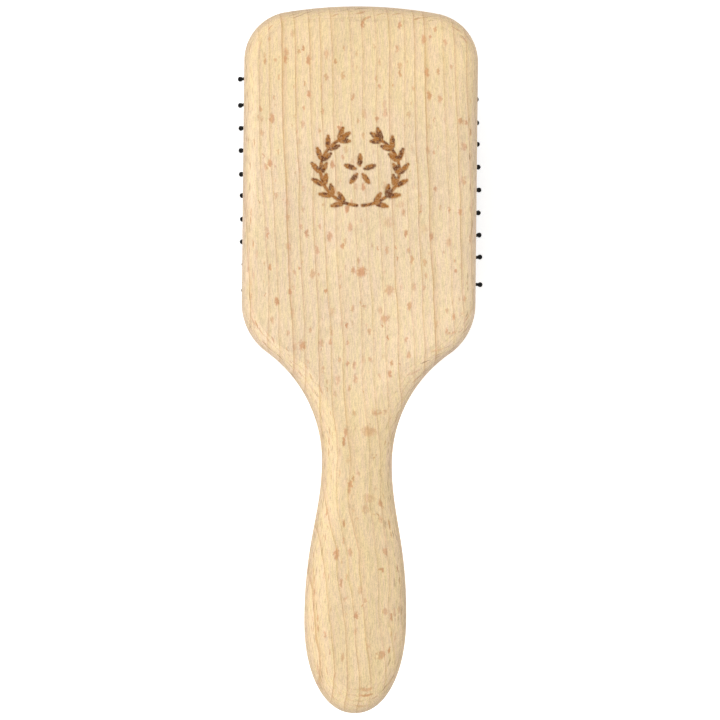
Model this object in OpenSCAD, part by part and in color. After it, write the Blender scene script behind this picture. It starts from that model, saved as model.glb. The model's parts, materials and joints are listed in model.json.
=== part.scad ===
// Wooden paddle hairbrush, lying level on its pin tips.
// +Y runs from the grip towards the head, +Z is the outward side of the back,
// z = 0 is the plane of the pin tips, and x = y = 0 is the middle of the brush.

/* [Head] */
// Width of the head
head_w = 81; // [68:0.5:98]
// Straight-sided length of the head, from its far end to the shoulders
head_len = 103; // [86:1:124]
// Thickness of the head
head_t = 14; // [11.5:0.25:17]
// Radius of the gentle arch across the head's far end
arch_r = 152; // [125:1:185]
// Radius of the head's two far corners
corner_r = 17; // [14:0.5:20.5]
// Radius of the convex shoulders
shoulder_r = 21; // [17.5:0.5:25.5]
// Round-over of the edge between the back and the sides
back_edge_r = 6; // [4:0.25:7.25]
// Round-over of the edge between the front and the sides
front_edge_r = 3; // [2:0.25:3.6]

/* [Handle] */
// Length from the shoulders to the narrowest place of the neck
shoulder_len = 55; // [45:1:66]
// Length from the neck to the end of the grip
handle_len = 87; // [72:1:105]
// Width of the neck
neck_w = 24.3; // [20:0.1:29.5]
// Greatest width of the grip
grip_w = 35.4; // [29.5:0.1:42.5]
// Thickness of the grip where it is widest
grip_t = 16; // [13.25:0.25:19.25]
// Distance from the end of the grip to its widest place
grip_back = 33; // [27:0.5:40]

/* [Recess] */
// Wood left beside the recess, along the sides
rim_w = 5; // [4:0.25:6]
// Wood left beyond the recess, at the far end
rim_end = 6.5; // [5:0.25:8]
// How far the recess runs past the start of the shoulders
recess_run = 9.7; // [7:0.1:11.7]
// Corner radius of the recess
recess_r = 20; // [16.5:0.5:24]
// Depth of the recess
recess_depth = 6.5; // [5.5:0.1:7.8]
// Depth of the groove that holds the flange, cut outwards from the recess wall
groove_reach = 1.5; // [1.2:0.1:1.8]

/* [Cushion] */
// Thickness of the rubber membrane
membrane_t = 1.8; // [1.5:0.1:2.2]
// Thickness of the flange that lies in the groove
flange_t = 2.6; // [2.1:0.1:3.2]
// Width of the zone in which the cushion rolls over at its edge
roll_w = 16; // [13.5:0.5:16.5]
// Height that the rolled edge gives the cushion
roll_h = 5; // [4:0.1:6]
// Height that the gentle swell adds in the middle
swell_h = 3.5; // [2.5:0.1:4.2]
// Diameter of the air vent
vent_d = 2.2; // [1.8:0.1:2.7]
// Thickness of the cloth that backs the pin heads
cloth_t = 0.6; // [0.4:0.05:0.8]

/* [Pins] */
// Length of a pin outside the cushion
pin_len = 23; // [19:0.25:28]
// Diameter of the ball on a pin's tip
ball_d = 1.9; // [1.6:0.1:2.3]
// Diameter of a pin just under its ball
neck_d = 1.1; // [0.9:0.05:1.4]
// Diameter of a pin where it leaves the cushion
root_d = 1.7; // [1.5:0.05:2.1]
// Diameter of the flat head inside the cushion
pin_head_d = 3; // [2.5:0.1:3.2]
// Thickness of the flat head
pin_head_t = 1; // [0.8:0.1:1.2]
// Distance between the pins of one column
row_pitch = 7.95; // [6.6:0.05:9.6]
// Distance from the outermost pins' roots to the edge of the recess
edge_margin = 4.1; // [3:0.1:4.4]
// Smallest distance from any pin's root to the edge of the recess
corner_margin = 3.4; // [2.5:0.1:3.8]
// Turn of the field of pin tips about the middle of the cushion, in degrees
tip_skew = 2.2; // [0:0.1:2.6]

/* [Fits] */
// Gap between the cushion and the walls of the recess and its groove
pad_gap = 0.15; // [0.1:0.05:0.2]
// Gap round a pin in the membrane
pin_gap = 0.1; // [0.08:0.02:0.2]
// Gap between the membrane and the pin heads
head_gap = 0.25; // [0.2:0.05:0.3]
// Gap between the pin heads and the cloth
cloth_gap = 0.6; // [0.5:0.05:0.8]

/* [Hidden] */
column_count = 9;

arc_step = 5;        // degrees between the points of a drawn arc
curve_steps = 12;    // points along each free curve of the handle
edge_steps = 6;      // bands in each rounded edge of the wood
grip_share = 0.86;   // share of the grip's half width that its oval edge takes
grip_land = 0.6;     // straight band left between the grip's two oval edges
spine_end = 14;      // distance from the grip's end where its edges start to turn round it
spine_head = 32;     // the same at the head's far end
tip_power = 2.15;    // fullness of the grip's end: 2 is an ellipse
swell_power = 6;     // flatness of the swell along the cushion: 2 is a parabola
wall_rise = 0.9;     // height of the membrane's straight inner wall over the front of the wood
cloth_inset = 2;     // how far inside the cushion's edge the cloth begins
corner_steps = 12;   // steps along each corner of the cushion
side_steps = 8;      // steps along each straight stretch of it
pin_fn = 32;

brush_len = head_len + shoulder_len + handle_len;
y_top = brush_len / 2;
crown_h = roll_h + swell_h;
front_z = pin_len + crown_h;
back_z = front_z + head_t;
floor_z = front_z + recess_depth;
recess_hw = head_w / 2 - rim_w;
recess_hl = (head_len + recess_run - rim_end) / 2;
pad_y = y_top - rim_end - recess_hl;
pad_hw = recess_hw - pad_gap;
pad_hl = recess_hl - pad_gap;
pad_r = recess_r - pad_gap;
flange_reach = groove_reach - pad_gap;
groove_h = flange_t + 2 * pad_gap;
column_pitch = (recess_hw - edge_margin) / ((column_count - 1) / 2);

// --- small helpers ---

function mix(a, b, t) = a + (b - a) * t;
function smooth(t) = let (u = min(max(t, 0), 1)) u * u * (3 - 2 * u);
function arc(centre, r, from, to) =
    let (n = max(2, ceil(abs(to - from) / arc_step)))
    [for (i = [0:n]) let (a = mix(from, to, i / n)) centre + r * [cos(a), sin(a)]];
function bezier(p, t) =
    let (q = 1 - t) q * q * q * p[0] + 3 * q * q * t * p[1] + 3 * q * t * t * p[2] + t * t * t * p[3];
function drop_first(list) = [for (i = [1:len(list) - 1]) list[i]];

// --- outline of the wood: its right half, as [x, distance from the head's far end] ---

// The far end is an arch, and the corner arc touches it and the straight side.
corner_at = arch_r - sqrt(pow(arch_r - corner_r, 2) - pow(head_w / 2 - corner_r, 2));
corner_turn = atan2(arch_r - corner_at, head_w / 2 - corner_r);
arch_arc = arc([0, arch_r], arch_r, -90, -corner_turn);
corner_arc = arc([head_w / 2 - corner_r, corner_at], corner_r, -corner_turn, 0);

// The concave sweep into the neck touches the shoulder arc and the neck's narrowest place.
sweep_a = neck_w / 2 - head_w / 2 + shoulder_r;
sweep_r = (shoulder_len * shoulder_len + sweep_a * sweep_a - shoulder_r * shoulder_r)
          / (2 * (shoulder_r - sweep_a));
sweep_turn = asin(shoulder_len / (shoulder_r + sweep_r));
shoulder_arc = arc([head_w / 2 - shoulder_r, head_len], shoulder_r, 0, sweep_turn);
sweep_arc = arc([neck_w / 2 + sweep_r, head_len + shoulder_len], sweep_r, 180 + sweep_turn, 180);

neck_at = head_len + shoulder_len;
grip_at = brush_len - grip_back;
swell_run = grip_at - neck_at;
grip_curve = [for (i = [0:curve_steps]) bezier(
    [[neck_w / 2, neck_at], [neck_w / 2, neck_at + swell_run / 3],
     [grip_w / 2, grip_at - swell_run / 2], [grip_w / 2, grip_at]], i / curve_steps)];
grip_end = [for (i = [0:curve_steps]) let (a = 90 * i / curve_steps)
    [grip_w / 2 * pow(cos(a), 2 / tip_power), grip_at + grip_back * pow(sin(a), 2 / tip_power)]];
side_line = [for (i = [1:8]) [head_w / 2, mix(corner_at, head_len, i / 9)]];

half_outline = concat(arch_arc, drop_first(corner_arc), side_line, shoulder_arc,
                      drop_first(sweep_arc), drop_first(grip_curve), drop_first(grip_end));

// --- sections of the wood ---

// The wood begins to thicken half way down the shoulders, and is thickest where the grip is widest.
swell_from = head_len + shoulder_len / 2;
function handle_share(d) = smooth((d - head_len) / shoulder_len);
function wood_t(d) = mix(head_t, grip_t, smooth((d - swell_from) / (grip_at - swell_from)));
function spine_point(p) = [0, min(max(p[1], spine_head), brush_len - spine_end)];

// One ring round the wood: every outline point moved inwards along its line to the spine.
function wood_ring(turn, is_back) =
    let (
        half = [for (p = half_outline) let (
            s = spine_point(p),
            reach = norm(s - p),
            share = handle_share(p[1]),
            t = wood_t(p[1]),
            edge = is_back ? back_edge_r : front_edge_r,
            round_in = mix(edge, grip_share * reach, share),
            round_z = mix(edge, (t - grip_land) / 2, share),
            q = p + (s - p) * round_in * (1 - cos(turn)) / reach,
            sink = round_z * (1 - sin(turn)))
            [q[0], y_top - q[1], is_back ? back_z - sink : back_z - t + sink]],
        last = len(half) - 1)
    concat(half, [for (i = [last - 1:-1:1]) [-half[i][0], half[i][1], half[i][2]]]);

// Quads between neighbouring rings of n points, numbered 0 to top.
function ring_sides(n, top) = [for (k = [0:top - 1], i = [0:n - 1])
    [k * n + i, (k + 1) * n + i, (k + 1) * n + (i + 1) % n, k * n + (i + 1) % n]];

// A closed solid from a stack of rings, whose first and last rings are capped from side to side.
module ring_stack(rings) {
    n = len(rings[0]);
    half = n / 2;
    top = len(rings) - 1;
    first_cap = [for (i = [0:half - 1])
        i == 0 ? [0, 1, n - 1] :
        i == half - 1 ? [i, half, n - i] : [i, i + 1, n - i - 1, n - i]];
    last_cap = [for (f = first_cap) [for (j = [len(f) - 1:-1:0]) top * n + f[j]]];
    polyhedron(points = [for (r = rings, p = r) p],
               faces = concat(first_cap, ring_sides(n, top), last_cap));
}

module rounded_plan(hw, hl, r) {
    square([2 * (hw - r), 2 * hl], center = true);
    square([2 * hw, 2 * (hl - r)], center = true);
    for (sx = [-1, 1], sy = [-1, 1])
        translate([sx * (hw - r), sy * (hl - r)]) circle(r = r, $fn = 96);
}

// Beech board: head, neck and grip in one piece, with the recess and its groove.
module wood_body() {
    cut = 1;
    color([0.93, 0.82, 0.66])
    difference() {
        ring_stack(concat(
            [for (k = [edge_steps:-1:0]) wood_ring(90 * k / edge_steps, true)],
            [for (k = [0:edge_steps]) wood_ring(90 * k / edge_steps, false)]));
        translate([0, pad_y, front_z - cut])
            linear_extrude(recess_depth + cut) rounded_plan(recess_hw, recess_hl, recess_r);
        translate([0, pad_y, floor_z - groove_h])
            linear_extrude(groove_h)
            rounded_plan(recess_hw + groove_reach, recess_hl + groove_reach, recess_r + groove_reach);
    }
}

// --- cushion ---

// Distance from a point to the edge of the cushion.
function edge_dist(x, y) =
    let (qx = abs(x) - pad_hw + pad_r, qy = abs(y) - pad_hl + pad_r)
    pad_r - norm([max(qx, 0), max(qy, 0)]) - min(max(qx, qy), 0);

// Height of the cushion's outer face over the front of the wood.
function crown(x, y) =
    let (t = min(max(edge_dist(x, y), 0) / roll_w, 1))
    roll_h * sqrt(1 - (1 - t) * (1 - t))
    + swell_h * (1 - pow(x / pad_hw, 2)) * (1 - pow(abs(y) / pad_hl, swell_power));

function crown_normal(x, y) =
    let (h = 0.05, n = [crown(x - h, y) - crown(x + h, y), crown(x, y - h) - crown(x, y + h), 2 * h])
    n / norm(n);

// Plan of the cushion moved inwards by e, and drawn towards its middle by the factor s:
// from each corner arc, points lead along the straight stretch to the next one.
function pad_plan(e, s = 1) =
    let (r = pad_r - e, cx = pad_hw - pad_r, cy = pad_hl - pad_r,
         corners = [[cx, cy], [-cx, cy], [-cx, -cy], [cx, -cy]])
    [for (c = [0:3]) let (
        here = corners[c],
        next = corners[(c + 1) % 4],
        turn = 90 * c + 90)
        each concat(
            [for (i = [0:corner_steps]) let (a = turn - 90 + 90 * i / corner_steps)
                s * (here + r * [cos(a), sin(a)])],
            [for (i = [1:side_steps - 1])
                s * (mix(here, next, i / side_steps) + r * [cos(turn), sin(turn)])])];

// Plans from near the edge to the middle, wide apart where the crown is flat.
// inner is how far inside the edge the first one lies.
function crown_plans(inner) = concat(
    [for (u = [0, 0.04, 0.12, 0.24, 0.4, 0.6, 0.8, 1]) pad_plan(inner + (roll_w - inner) * u)],
    [for (s = [0.8, 0.55, 0.3]) pad_plan(roll_w, s)]);

// A plan laid on the crown, pushed inwards from its outer face by depth.
function on_crown(plan, depth) =
    [for (p = plan) let (n = crown_normal(p[0], p[1]), w = crown(p[0], p[1]) - depth * n[2])
        [p[0] - depth * n[0], pad_y + p[1] - depth * n[1], front_z - w]];
function level(plan, z) = [for (p = plan) [p[0], pad_y + p[1], z]];
function reversed(list) = [for (i = [len(list) - 1:-1:0]) list[i]];

// A closed shell from rings that start and end at a middle point.
module ring_shell(rings, first_point, last_point) {
    n = len(rings[0]);
    top = len(rings) - 1;
    count = n * len(rings);
    first_fan = [for (i = [0:n - 1]) [count, i, (i + 1) % n]];
    last_fan = [for (i = [0:n - 1]) [count + 1, top * n + (i + 1) % n, top * n + i]];
    polyhedron(points = concat([for (r = rings, p = r) p], [first_point, last_point]),
               faces = concat(first_fan, ring_sides(n, top), last_fan));
}

function middle(depth) = [0, pad_y, front_z - crown(0, 0) + depth];

// Rubber membrane with its flange, drilled for the pins and the air vent.
module cushion_pad() {
    flange_z = floor_z - flange_t;
    inner = membrane_t + 0.4;
    color([0.09, 0.09, 0.1])
    difference() {
        ring_shell(concat(
            reversed([for (p = crown_plans(0)) on_crown(p, 0)]),
            [level(pad_plan(0), flange_z),
             level(pad_plan(-flange_reach), flange_z),
             level(pad_plan(-flange_reach), floor_z),
             level(pad_plan(membrane_t), floor_z),
             level(pad_plan(membrane_t), front_z - wall_rise)],
            [for (p = crown_plans(inner)) on_crown(p, membrane_t)]),
            middle(0), middle(membrane_t));
        for (c = [1:column_count], y = column_rows(c))
            at_pin(column_x(c), y)
                translate([0, 0, -2 * membrane_t])
                cylinder(d = root_d + 2 * pin_gap, h = 4 * membrane_t, $fn = pin_fn);
        translate([0, pad_y, front_z - crown_h - membrane_t])
            cylinder(d = vent_d, h = 3 * membrane_t, $fn = pin_fn);
    }
}

// Cotton cloth behind the pin heads.
module backing_cloth() {
    outer = membrane_t + head_gap + pin_head_t + cloth_gap;
    plans = crown_plans(cloth_inset);
    color([0.88, 0.85, 0.78])
    ring_shell(concat(
        reversed([for (p = plans) on_crown(p, outer)]),
        [for (p = plans) on_crown(p, outer + cloth_t)]),
        middle(outer), middle(outer + cloth_t));
}

// --- pins ---

function column_x(c) = (c - (column_count + 1) / 2) * column_pitch;

// Rows along a column, centred on the cushion: every other column is half a pitch out of step.
function column_rows(c) =
    let (offset = c % 2 == 1 ? row_pitch / 2 : 0, n = floor(recess_hl / row_pitch) + 1)
    [for (k = [-n:n]) let (y = k * row_pitch + offset)
        if (edge_dist(column_x(c), y) + pad_gap >= corner_margin) y];

// The pin's direction: along the crown's normal, then turned with the field of tips.
function pin_direction(x, y) =
    let (tip = [x, y, 0] + pin_len * crown_normal(x, y),
         turned = [tip[0] * cos(tip_skew) - tip[1] * sin(tip_skew),
                   tip[0] * sin(tip_skew) + tip[1] * cos(tip_skew), tip[2]],
         d = turned - [x, y, 0])
    [d[0], d[1], -d[2]] / norm(d);

// Places its children at a pin's root, with their +Z along the pin.
module at_pin(x, y) {
    d = pin_direction(x, y);
    translate([x, pad_y + y, front_z - crown(x, y)])
        rotate([0, acos(d[2]), atan2(d[1], d[0])])
        children();
}

// Nylon pin: flat head, straight shank through the membrane, tapered shaft and ball.
module pin() {
    under = membrane_t + head_gap;
    translate([0, 0, -under - pin_head_t]) cylinder(d = pin_head_d, h = pin_head_t, $fn = pin_fn);
    translate([0, 0, -under]) cylinder(d = root_d, h = under, $fn = pin_fn);
    cylinder(d1 = root_d, d2 = neck_d, h = pin_len - ball_d / 2, $fn = pin_fn);
    translate([0, 0, pin_len - ball_d / 2]) sphere(d = ball_d, $fn = pin_fn);
}

module pin_column(c) {
    color([0.05, 0.05, 0.055])
    for (y = column_rows(c)) at_pin(column_x(c), y) pin();
}

wood_body();
cushion_pad();
backing_cloth();
for (c = [1:column_count])
    pin_column(c);
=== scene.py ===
"""Looks for a wooden paddle hairbrush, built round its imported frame.

The brush lies back up on its pin tips. Lengths are in metres, and the patterns of the
materials are worked out in millimetres.
"""

import json
import math

import bmesh
import bpy
import numpy as np
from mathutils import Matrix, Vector
from mathutils.geometry import delaunay_2d_cdt

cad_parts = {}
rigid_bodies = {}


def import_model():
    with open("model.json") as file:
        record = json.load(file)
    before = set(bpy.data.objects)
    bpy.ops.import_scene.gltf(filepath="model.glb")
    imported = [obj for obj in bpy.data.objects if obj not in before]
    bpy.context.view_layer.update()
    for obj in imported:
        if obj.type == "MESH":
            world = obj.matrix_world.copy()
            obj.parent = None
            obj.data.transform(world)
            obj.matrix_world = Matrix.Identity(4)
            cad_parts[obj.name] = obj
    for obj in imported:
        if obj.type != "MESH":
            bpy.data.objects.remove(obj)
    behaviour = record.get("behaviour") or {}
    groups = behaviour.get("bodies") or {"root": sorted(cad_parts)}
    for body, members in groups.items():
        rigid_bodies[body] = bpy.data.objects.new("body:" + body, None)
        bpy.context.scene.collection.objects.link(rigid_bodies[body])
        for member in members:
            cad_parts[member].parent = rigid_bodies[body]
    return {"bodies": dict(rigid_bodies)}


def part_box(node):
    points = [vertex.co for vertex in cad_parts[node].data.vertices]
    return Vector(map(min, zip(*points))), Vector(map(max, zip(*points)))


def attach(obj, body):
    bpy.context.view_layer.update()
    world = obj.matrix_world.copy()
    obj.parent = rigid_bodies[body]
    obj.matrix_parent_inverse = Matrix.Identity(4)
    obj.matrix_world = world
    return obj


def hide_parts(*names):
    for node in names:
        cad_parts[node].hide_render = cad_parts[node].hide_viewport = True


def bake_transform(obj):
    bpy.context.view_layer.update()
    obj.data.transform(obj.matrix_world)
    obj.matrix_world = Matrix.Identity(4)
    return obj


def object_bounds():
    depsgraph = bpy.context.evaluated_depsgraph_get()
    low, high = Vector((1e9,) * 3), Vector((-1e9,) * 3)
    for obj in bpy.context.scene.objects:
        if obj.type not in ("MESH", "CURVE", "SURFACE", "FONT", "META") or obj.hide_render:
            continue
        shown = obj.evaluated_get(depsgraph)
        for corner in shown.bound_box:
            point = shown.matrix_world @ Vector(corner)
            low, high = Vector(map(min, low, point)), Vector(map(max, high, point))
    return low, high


bl_info = {
    "name": "Paddle hairbrush",
    "version": (1, 0, 0),
    "blender": (4, 5, 0),
    "location": "3D View > Sidebar > Hairbrush",
    "description": "Builds a beech paddle brush with an air cushion and ball-tipped pins",
    "category": "Add Mesh",
}

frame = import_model()
cad_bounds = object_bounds()
board_low, board_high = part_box("wood_body")

MM = 0.001
PER_MM = 1000
COLUMNS = sorted(name for name in frame["bodies"] if name.startswith("column_"))
WELD = 0.001 * MM


# --- sizes and colours that a user may change ---


def length(label, millimetres, description):
    """A length property, its default given in millimetres."""
    return bpy.props.FloatProperty(
        name=label, description=description, default=millimetres * MM, min=0, precision=5, unit="LENGTH"
    )


def angle(label, degrees, description):
    """An angle property, its default given in degrees."""
    return bpy.props.FloatProperty(
        name=label, description=description, default=math.radians(degrees), subtype="ANGLE"
    )


def colour(label, red, green, blue, description):
    """A colour property, its default given as display values from 0 to 255."""
    return bpy.props.FloatVectorProperty(
        name=label,
        description=description,
        default=[linear(value) for value in (red, green, blue)],
        size=3,
        min=0,
        max=1,
        subtype="COLOR",
    )


def linear(value):
    """Scene-linear value of a display value from 0 to 255."""
    share = value / 255
    return share / 12.92 if share <= 0.04045 else ((share + 0.055) / 1.055) ** 2.4


class BoardSettings(bpy.types.PropertyGroup):
    """Sizes of the wood. Its width, length and height come from the frame."""

    head_length: length("Head length", 103, "From the far end to the start of the shoulders")
    head_thickness: length("Head thickness", 14, "Thickness of the head")
    arch_radius: length("Arch radius", 152, "Arch across the head's far end")
    corner_radius: length("Corner radius", 17, "The head's two far corners")
    shoulder_radius: length("Shoulder radius", 21, "Convex shoulders")
    shoulder_length: length("Shoulder length", 55, "From the shoulders to the neck")
    neck_width: length("Neck width", 24.3, "Narrowest width of the neck")
    grip_width: length("Grip width", 35.4, "Greatest width of the grip")
    grip_thickness: length("Grip thickness", 16, "Thickness where the grip is widest")
    grip_back: length("Grip back", 33, "From the grip's end to its widest place")
    back_round: length("Back edge radius", 6, "Round-over between the back and the sides")
    front_round: length("Front edge radius", 3, "Round-over between the front and the sides")
    side_rim: length("Side rim", 5, "Wood beside the recess")
    far_rim: length("Far rim", 6.5, "Wood beyond the recess, at the far end")
    recess_run: length("Recess run", 9.7, "How far the recess passes the start of the shoulders")
    recess_radius: length("Recess radius", 20, "Corners of the recess")
    recess_depth: length("Recess depth", 6.5, "Depth of the recess")
    groove_reach: length("Groove reach", 1.5, "Depth of the groove in the recess wall")
    groove_height: length("Groove height", 2.9, "Width of the groove along the wall")
    lip_radius: length("Lip radius", 0.7, "Softened lip of the recess")
    mark_from_end: length("Mark from end", 57, "From the far end to the middle of the burnt wreath")
    mark_depth: length("Mark depth", 0.16, "How deep the wreath is burnt in")


class CushionSettings(bpy.types.PropertyGroup):
    """Sizes of the rubber cushion and the cloth inside it."""

    gap: length("Gap", 0.15, "Between the cushion and the wood")
    membrane: length("Membrane", 1.8, "Thickness of the rubber")
    roll_width: length("Roll width", 16, "Zone in which the cushion rolls over at its edge")
    roll_height: length("Roll height", 5, "Height of the rolled edge")
    swell_height: length("Swell height", 3.5, "Height that the swell adds in the middle")
    wall_rise: length("Wall rise", 0.9, "Straight inner wall above the front of the wood")
    vent_width: length("Vent width", 2.2, "Air vent in the middle")
    vent_rim: length("Vent rim", 0.45, "Raised rim round the vent")
    socket_width: length("Socket width", 3.7, "Raised collar round each pin")
    socket_height: length("Socket height", 0.55, "Height of the collars")
    cloth_thickness: length("Cloth thickness", 0.6, "Thickness of the backing cloth")
    cloth_inset: length("Cloth inset", 2, "From the cushion's edge to the cloth")
    cloth_gap: length("Cloth gap", 0.6, "Between the pin heads and the cloth")


class PinSettings(bpy.types.PropertyGroup):
    """Sizes and places of the nylon pins."""

    length: length("Length", 23, "Length of a pin outside the cushion")
    ball_width: length("Ball width", 1.9, "Diameter of the ball on the tip")
    neck_width: length("Neck width", 1.1, "Diameter just under the ball")
    root_width: length("Root width", 1.7, "Diameter where the pin leaves the cushion")
    head_width: length("Head width", 3, "Diameter of the flat head inside the cushion")
    head_thickness: length("Head thickness", 1, "Thickness of the flat head")
    head_gap: length("Head gap", 0.25, "Between the membrane and the flat head")
    row_pitch: length("Row pitch", 7.95, "Between the pins of one column")
    edge_margin: length("Edge margin", 4.1, "From the outer columns to the recess wall")
    corner_margin: length("Corner margin", 3.4, "Smallest distance from any pin to the wall")
    skew: angle("Skew", 2.2, "Turn of the field of tips about the cushion's middle")
    wander: angle("Wander", 0.7, "Largest lean of a pin away from its direction")
    sides: bpy.props.IntProperty(name="Sides", description="Sides of a pin", default=10, min=6)
    seed: bpy.props.IntProperty(name="Seed", description="Seed of the pins' lean", default=4)


class FinishSettings(bpy.types.PropertyGroup):
    """Colours of the finishes."""

    pale_wood: colour("Pale wood", 236, 208, 166, "Beech between the ring lines")
    ring_wood: colour("Ring line", 213, 174, 128, "Dark side of a growth ring")
    side_wood: colour("Side wood", 231, 200, 168, "Rosier tint of the sides")
    fleck_wood: colour("Ray fleck", 207, 152, 108, "Rays seen on the back")
    dash_wood: colour("Ray dash", 136, 92, 58, "Ends of the rays on the sides")
    scorch: colour("Scorch", 166, 106, 44, "Burnt lines of the wreath")
    deep_scorch: colour("Deep scorch", 88, 38, 14, "Darkest spots of the burnt lines")
    rubber: colour("Rubber", 34, 34, 35, "Cushion")
    cotton: colour("Cotton", 214, 204, 184, "Backing cloth")
    nylon: colour("Nylon", 5, 5, 6, "Pins")
    floor: colour("Floor", 250, 250, 250, "Studio floor")


class HairbrushSettings(bpy.types.PropertyGroup):
    """Everything that a user may change."""

    board: bpy.props.PointerProperty(type=BoardSettings, name="Board", description="Wood")
    cushion: bpy.props.PointerProperty(type=CushionSettings, name="Cushion", description="Rubber")
    pins: bpy.props.PointerProperty(type=PinSettings, name="Pins", description="Nylon pins")
    finish: bpy.props.PointerProperty(type=FinishSettings, name="Finish", description="Colours")


class Recess:
    """Where the recess lies, worked out from the board's sizes."""

    def __init__(self, board):
        self.half_width = board_high.x - board.side_rim
        self.half_length = (board.head_length + board.recess_run - board.far_rim) / 2
        self.radius = board.recess_radius
        self.middle = board_high.y - board.far_rim - self.half_length
        self.front = board_high.z - board.head_thickness
        self.floor = self.front + board.recess_depth

    def ring(self, outwards=0.0):
        """Plan of the recess about its middle, moved outwards."""
        return rounded_ring(
            self.half_width + outwards, self.half_length + outwards, self.radius + outwards
        )

    def depth_inside(self, points):
        """Distance of points from the recess wall, above 0 inside it."""
        reach = np.abs(points - (0, self.middle)) - (self.half_width, self.half_length) + self.radius
        return self.radius - np.linalg.norm(np.maximum(reach, 0), axis=1) - np.minimum(reach.max(1), 0)


# --- node trees: sums written out as sums ---


class Field:
    """A node's output that takes part in sums: each step adds one maths node to its tree."""

    def __init__(self, graph, socket):
        self.graph = graph
        self.socket = socket

    def step(self, operation, *others):
        node = self.graph.add("ShaderNodeMath", operation=operation)
        for place, value in enumerate((self, *others)):
            self.graph.feed(node.inputs[place], value)
        return Field(self.graph, node.outputs[0])

    def __add__(self, other):
        return self.step("ADD", other)

    def __sub__(self, other):
        return self.step("SUBTRACT", other)

    def __rsub__(self, other):
        return self * -1 + other

    def __mul__(self, other):
        return self.step("MULTIPLY", other)

    def __truediv__(self, other):
        return self.step("DIVIDE", other)

    def __mod__(self, other):
        return self.step("FLOORED_MODULO", other)

    def __pow__(self, other):
        return self.step("POWER", other)

    def __abs__(self):
        return self.step("ABSOLUTE")

    __radd__ = __add__
    __rmul__ = __mul__

    def least(self, other):
        return self.step("MINIMUM", other)

    def most(self, other):
        return self.step("MAXIMUM", other)

    def ramp(self, start, end):
        """Smoothly from 0 at start to 1 at end."""
        node = self.graph.add("ShaderNodeMapRange", interpolation_type="SMOOTHSTEP")
        for name, value in (("Value", self), ("From Min", start), ("From Max", end)):
            self.graph.feed(node.inputs[name], value)
        return Field(self.graph, node.outputs[0])


class Graph:
    """Adds nodes to a tree and joins them."""

    def __init__(self, tree):
        self.tree = tree
        self.start = None

    @classmethod
    def group(cls, name, kind, inputs, outputs):
        """A new node group with named inputs and outputs, each given with its default."""
        tree = bpy.data.node_groups.new(name, kind)
        for in_out, sockets in (("INPUT", inputs), ("OUTPUT", outputs)):
            for label, default in sockets.items():
                add_socket(tree, label, in_out, default)
        graph = cls(tree)
        graph.start = graph.add("NodeGroupInput")
        graph.end = graph.add("NodeGroupOutput")
        return graph

    def given(self, name):
        return Field(self, self.start.outputs[name])

    def give(self, name, value):
        self.feed(self.end.inputs[name], value)

    def feed(self, socket, value):
        if isinstance(value, Field):
            value = value.socket
        if isinstance(value, bpy.types.NodeSocket):
            self.tree.links.new(value, socket)
        else:
            socket.default_value = value

    def add(self, kind, values=None, **settings):
        node = self.tree.nodes.new(kind)
        for name, value in settings.items():
            setattr(node, name, value)
        for name, value in (values or {}).items():
            self.feed(node.inputs[name], value)
        return node

    def place(self, kind, tree, values):
        """A node that holds another group, with its inputs fed by name."""
        node = self.tree.nodes.new(kind)
        node.node_tree = tree
        for name, value in values.items():
            self.feed(node.inputs[name], value)
        return node

    def split(self, vector):
        node = self.add("ShaderNodeSeparateXYZ", {0: vector})
        return [Field(self, socket) for socket in node.outputs]

    def vector(self, x, y, z):
        return self.add("ShaderNodeCombineXYZ", {0: x, 1: y, 2: z}).outputs[0]

    def vector_sum(self, operation, first, second=None):
        node = self.add("ShaderNodeVectorMath", {0: first}, operation=operation)
        if second is not None:
            self.feed(node.inputs["Scale" if operation == "SCALE" else 1], second)
        return node.outputs["Value" if operation == "LENGTH" else "Vector"]

    def noise(self, vector, detail=2.0):
        """Noise with features about 1 across, from about 0.25 to 0.75."""
        node = self.add("ShaderNodeTexNoise", {"Vector": vector, "Scale": 1.0, "Detail": detail})
        return Field(self, node.outputs[0])

    def mix(self, share, first, second, blend="MIX"):
        """A colour between two others."""
        node = self.add("ShaderNodeMix", data_type="RGBA", blend_type=blend)
        for place, value in ((0, share), (6, first), (7, second)):
            if isinstance(value, (tuple, list, bpy.types.bpy_prop_array)):
                value = (*value, 1.0)[:4]
            self.feed(node.inputs[place], value)
        return node.outputs[2]


def add_socket(tree, label, in_out, default):
    """Adds an interface socket whose type follows from its default; None is a geometry."""
    kinds = {float: "Float", int: "Int", bool: "Bool", type(None): "Geometry"}
    kind = kinds.get(type(default)) or ("Vector" if isinstance(default, tuple) else "Material")
    socket = tree.interface.new_socket(label, in_out=in_out, socket_type="NodeSocket" + kind)
    if kind in ("Float", "Int", "Vector"):
        socket.default_value = default


def new_material(name):
    """A material with its shader, and a graph to build the pattern in."""
    material = bpy.data.materials.new(name)
    material.use_nodes = True
    graph = Graph(material.node_tree)
    shader = material.node_tree.nodes["Principled BSDF"]
    place = graph.vector_sum("SCALE", graph.add("ShaderNodeTexCoord").outputs["Object"], float(PER_MM))
    return material, graph, shader, place


def bump(graph, shader, height, depth):
    """Feeds a height from 0 to 1 into the shader's normal, depth being its full depth."""
    node = graph.add("ShaderNodeBump", {"Strength": 1.0, "Distance": depth, "Height": height})
    graph.feed(shader.inputs["Normal"], node.outputs[0])


# --- effects shared by the finishes ---


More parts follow.
